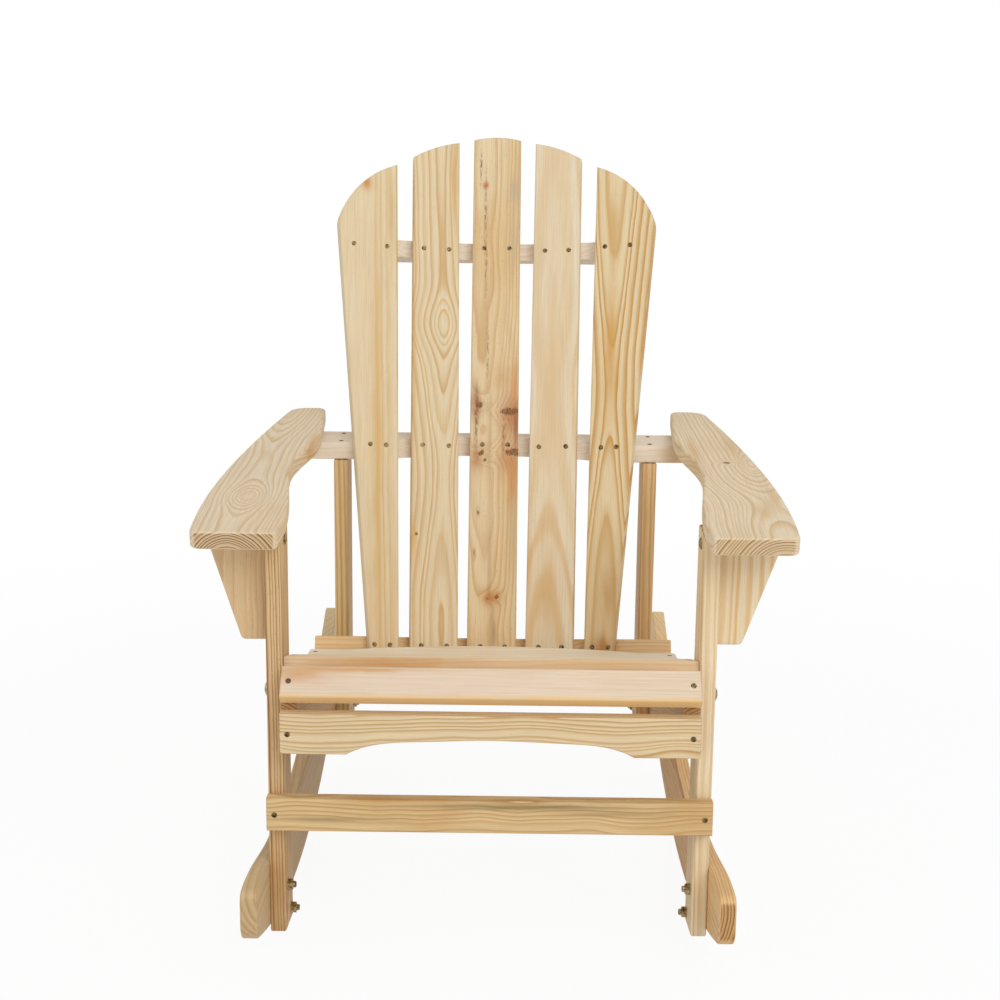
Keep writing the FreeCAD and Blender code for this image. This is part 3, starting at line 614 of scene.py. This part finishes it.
def metalMaterial(name):
    look = {**metals, **metals[name]}
    shade = Shade(name + "_plating")
    place = shade.make("ShaderNodeTexCoord", output=3)
    cloudy = shade.noise(shade.stretch(place, [look["cloud"]] * 3), 3.0)
    colour = shade.mix(shade.ramp(cloudy, ramps["cloud"]), tone(*look["dark"]), tone(*look["light"]))
    scratch = shade.noise(shade.stretch(place, [look["scratch"]] * 3), 2.0)
    relief = shade.make("ShaderNodeBump", values={"Strength": look["relief"], "Distance": look["reliefDepth"],
                                                  "Height": scratch})
    shade.set(shade.surface.inputs["Base Color"], colour)
    shade.set(shade.surface.inputs["Roughness"], look["rough"] + look["cloudRough"] * cloudy)
    shade.set(shade.surface.inputs["Normal"], relief)
    shade.surface.inputs["Metallic"].default_value = 1.0
    return shade.material


def screwPlaces(node):
    # Each CAD screw: the middle of its head, the way it points, and its length
    weld, rimDepth = 0.01 * mm, 0.1 * mm
    mesh = bmesh.new()
    mesh.from_mesh(node.data)
    bmesh.ops.remove_doubles(mesh, verts=mesh.verts, dist=weld)
    left = set(mesh.verts)
    places = []
    while left:
        island, waiting = [], [left.pop()]
        while waiting:
            corner = waiting.pop()
            island.append(corner.co.copy())
            for edge in corner.link_edges:
                other = edge.other_vert(corner)
                if other in left:
                    left.remove(other)
                    waiting.append(other)
        middle = sum(island, Vector()) / len(island)
        tip = max(island, key=lambda spot: (spot - middle).length)
        far = max((spot - tip).length for spot in island)
        rim = [spot for spot in island if (spot - tip).length > far - rimDepth]
        head = sum(rim, Vector()) / len(rim)
        places.append((head, (tip - head).normalized(), (tip - head).length))
    mesh.free()
    return sorted(places, key=lambda place: tuple(round(c, 4) for c in place[0]))


class Tree:
    # A Geometry Nodes tree in the making
    def __init__(self, name):
        self.group = bpy.data.node_groups.new(name, "GeometryNodeTree")
        self.group.interface.new_socket("Geometry", in_out="INPUT", socket_type="NodeSocketGeometry")
        self.group.interface.new_socket("Geometry", in_out="OUTPUT", socket_type="NodeSocketGeometry")
        self.start = self.group.nodes.new("NodeGroupInput")
        self.end = self.group.nodes.new("NodeGroupOutput")
        self.keys = {}

    def size(self, name):
        socket = self.group.interface.new_socket(name, in_out="INPUT", socket_type="NodeSocketFloat")
        self.keys[name] = socket.identifier
        return self.start.outputs[name]

    def add(self, kind, settings=None, values=None, output=0):
        node = self.group.nodes.new(kind)
        for key, value in (settings or {}).items():
            setattr(node, key, value)
        for key, value in (values or {}).items():
            for part in value if isinstance(value, list) else [value]:
                if isinstance(part, bpy.types.NodeSocket):
                    self.group.links.new(part, node.inputs[key])
                else:
                    node.inputs[key].default_value = part
        return node.outputs[output]

    def vector(self, x=0.0, y=0.0, z=0.0):
        return self.add("ShaderNodeCombineXYZ", None, {"X": x, "Y": y, "Z": z})

    def math(self, operation, first, second):
        return self.add("ShaderNodeMath", {"operation": operation}, {0: first, 1: second})

    def cone(self, corners, bottom, top, high, start, fill):
        shape = self.add("GeometryNodeMeshCone", {"fill_type": fill},
                         {"Vertices": corners, "Radius Bottom": bottom, "Radius Top": top, "Depth": high})
        return self.add("GeometryNodeTransform", None, {"Geometry": shape, "Translation": self.vector(z=start)})


def makeScrewTree():
    # One screw with its face at zero and its point towards +Z, set on every point and aimed
    tree = Tree("wood_screws")
    headWidth, shankWidth, headHigh, tipLong, recessWide, recessLong, recessDeep = map(tree.size, screws)
    length = tree.size("Length")
    headRadius = tree.math("MULTIPLY", headWidth, 0.5)
    shankRadius = tree.math("MULTIPLY", shankWidth, 0.5)
    tipStart = tree.math("SUBTRACT", length, tipLong)
    deep = tree.math("MULTIPLY", recessDeep, 2.0)
    slots = [tree.add("GeometryNodeMeshCube", None, {"Size": tree.vector(wide, long, deep)})
             for wide, long in ((recessLong, recessWide), (recessWide, recessLong))]
    head = tree.cone(screwCorners["head"], headRadius, shankRadius, headHigh, 0.0, "NGON")
    head = tree.add("GeometryNodeMeshBoolean", {"operation": "DIFFERENCE", "solver": "EXACT"},
                    {"Mesh 1": head, "Mesh 2": slots})
    shankLong = tree.math("SUBTRACT", tipStart, headHigh)
    shank = tree.cone(screwCorners["shank"], shankRadius, shankRadius, shankLong, headHigh, "NONE")
    tip = tree.cone(screwCorners["shank"], shankRadius, 0.0, tipLong, tipStart, "NONE")
    screw = tree.add("GeometryNodeJoinGeometry", None, {0: [head, shank, tip]})
    aim = tree.add("GeometryNodeInputNamedAttribute", {"data_type": "FLOAT_VECTOR"}, {"Name": "aim"})
    aimed = tree.add("FunctionNodeAlignRotationToVector", {"axis": "Z"}, {"Vector": aim})
    spin = tree.add("FunctionNodeRandomValue", {"data_type": "FLOAT"},
                    {2: 0.0, 3: screwTurn["most"], "Seed": screwTurn["seed"]}, 1)
    twist = tree.add("FunctionNodeAxisAngleToRotation", None, {"Axis": (0.0, 0.0, 1.0), "Angle": spin})
    turned = tree.add("FunctionNodeRotateRotation", {"rotation_space": "LOCAL"},
                      {"Rotation": aimed, "Rotate By": twist})
    whole = tree.add("GeometryNodeInstanceOnPoints", None,
                     {"Points": tree.start.outputs["Geometry"], "Instance": screw, "Rotation": turned})
    whole = tree.add("GeometryNodeRealizeInstances", None, {"Geometry": whole})
    whole = tree.add("GeometryNodeSetMaterial", None, {"Geometry": whole, "Material": metalMaterial("screw")})
    tree.group.links.new(whole, tree.end.inputs[0])
    return tree


def makeScrews(tree, node):
    places = screwPlaces(node)
    points = bpy.data.meshes.new("screw_points")
    points.from_pydata([tuple(head) for head, aim, length in places], [], [])
    aims = points.attributes.new("aim", "FLOAT_VECTOR", "POINT")
    for item, (head, aim, length) in zip(aims.data, places):
        item.vector = tuple(aim)
    maker = bpy.data.objects.new("screw_maker", points)
    bpy.context.scene.collection.objects.link(maker)
    modifier = maker.modifiers.new("screws", "NODES")
    modifier.node_group = tree.group
    for name, size in screws.items():
        modifier[tree.keys[name]] = size * mm
    modifier[tree.keys["Length"]] = places[0][2]
    mesh = bpy.data.meshes.new_from_object(maker.evaluated_get(bpy.context.evaluated_depsgraph_get()))
    maker.modifiers.remove(modifier)
    bpy.data.objects.remove(maker)
    piece = bpy.data.objects.new("set_of_" + node.name, mesh)
    bpy.context.scene.collection.objects.link(piece)
    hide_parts(node.name)
    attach(piece, "root")


screwTree = makeScrewTree()
boltMetal = metalMaterial("bolt")
for name, piece in list(nodes.items()):
    if name.endswith("_screws"):
        makeScrews(screwTree, piece)
    elif name.endswith(("_bolts", "_nuts", "_lags")):
        piece.data.materials.clear()
        piece.data.materials.append(boltMetal)
print("fasteners made")

# Floor, light and camera
studio = {
    "floorSize": 14.0,
    "white": (0.93, 0.93, 0.93, 1.0),
    "rough": 0.9,
    "whiteShare": 0.93,     # how much of the floor's white doesn't depend on the lamps
    "fadeFrom": 0.9,        # the floor turns pure white over this stretch, in metres
    "fadeTo": 2.4,
    "skyLevel": 0.61,
    "lampAim": (0.0, 0.0, 0.5),
}
lamps = {
    "key": {"place": (1.6, -3.4, 3.1), "size": 2.4, "power": 70.0},
    "fill": {"place": (-3.2, -2.2, 1.6), "size": 2.5, "power": 15.0},
}
view = {
    "place": (0.0091, -2.1950, 0.9439),
    "yaw": -0.11,
    "pitch": 11.06,
    "roll": 0.66,
    "sensor": 36.0,         # millimetres, as is the lens
    "lens": 56.466,
}


def makeFloor():
    half = studio["floorSize"] / 2
    mesh = bpy.data.meshes.new("studio_floor")
    corners = [(-half, -half, 0), (half, -half, 0), (half, half, 0), (-half, half, 0)]
    mesh.from_pydata(corners, [], [(0, 1, 2, 3)])
    floor = bpy.data.objects.new("studio_floor", mesh)
    bpy.context.scene.collection.objects.link(floor)
    shade = Shade("studio_white")
    shade.surface.inputs["Base Color"].default_value = studio["white"]
    shade.surface.inputs["Roughness"].default_value = studio["rough"]
    shade.surface.inputs["Specular IOR Level"].default_value = 0.0
    glow = shade.make("ShaderNodeEmission", values={"Color": (1, 1, 1, 1), "Strength": 1.0})
    seen, glossy, through = shade.others(shade.make("ShaderNodeLightPath"), "Is Camera Ray", "Is Glossy Ray",
                                         "Is Transmission Ray")
    shown = seen.math("MAXIMUM", glossy).math("MAXIMUM", through)
    place = shade.make("ShaderNodeTexCoord", output=3)
    distance = shade.make("ShaderNodeVectorMath", {"operation": "LENGTH"}, [place], 1)
    far = shade.make("ShaderNodeMapRange", {"interpolation_type": "SMOOTHSTEP"},
                     {"Value": distance, "From Min": studio["fadeFrom"], "From Max": studio["fadeTo"]})
    blend = shade.tree.nodes.new("ShaderNodeMixShader")
    shade.set(blend.inputs[0], shown * (studio["whiteShare"] + (1 - studio["whiteShare"]) * far))
    shade.tree.links.new(shade.surface.outputs[0], blend.inputs[1])
    shade.tree.links.new(glow.socket, blend.inputs[2])
    shade.tree.links.new(blend.outputs[0], shade.tree.nodes["Material Output"].inputs["Surface"])
    mesh.materials.append(shade.material)


def makeSky():
    world = bpy.data.worlds.new("studio")
    bpy.context.scene.world = world
    world.use_nodes = True
    tree = world.node_tree
    path = tree.nodes.new("ShaderNodeLightPath")
    shown = path.outputs["Is Camera Ray"]
    for other in ("Is Glossy Ray", "Is Transmission Ray"):
        either = tree.nodes.new("ShaderNodeMath")
        either.operation = "MAXIMUM"
        tree.links.new(shown, either.inputs[0])
        tree.links.new(path.outputs[other], either.inputs[1])
        shown = either.outputs[0]
    level = tree.nodes.new("ShaderNodeMapRange")
    level.inputs["To Min"].default_value = studio["skyLevel"]
    level.inputs["To Max"].default_value = 1.0
    tree.links.new(shown, level.inputs["Value"])
    tree.nodes["Background"].inputs["Color"].default_value = (1, 1, 1, 1)
    tree.links.new(level.outputs[0], tree.nodes["Background"].inputs["Strength"])


def makeLamp(name):
    look = lamps[name]
    data = bpy.data.lights.new(name, "AREA")
    data.size = look["size"]
    data.energy = look["power"]
    lamp = bpy.data.objects.new(name, data)
    lamp.location = look["place"]
    aim = Vector(studio["lampAim"]) - Vector(look["place"])
    lamp.rotation_euler = aim.to_track_quat("-Z", "Y").to_euler()
    bpy.context.scene.collection.objects.link(lamp)


def makeCamera():
    yaw, pitch, roll = (radians(view[key]) for key in ("yaw", "pitch", "roll"))
    forward = Vector((sin(yaw) * cos(pitch), cos(yaw) * cos(pitch), -sin(pitch)))
    level = Vector((cos(yaw), -sin(yaw), 0))
    upright = level.cross(forward)
    right = level * cos(roll) + upright * sin(roll)
    up = upright * cos(roll) - level * sin(roll)
    data = bpy.data.cameras.new("camera")
    data.sensor_width = view["sensor"]
    data.lens = view["lens"]
    camera = bpy.data.objects.new("camera", data)
    turn = Matrix((right, up, -forward)).transposed().to_4x4()
    camera.matrix_world = Matrix.Translation(view["place"]) @ turn
    bpy.context.scene.collection.objects.link(camera)
    bpy.context.scene.camera = camera


makeFloor()
makeSky()
for name in lamps:
    makeLamp(name)
makeCamera()
bpy.context.scene.view_settings.view_transform = "Standard"
print("studio ready")
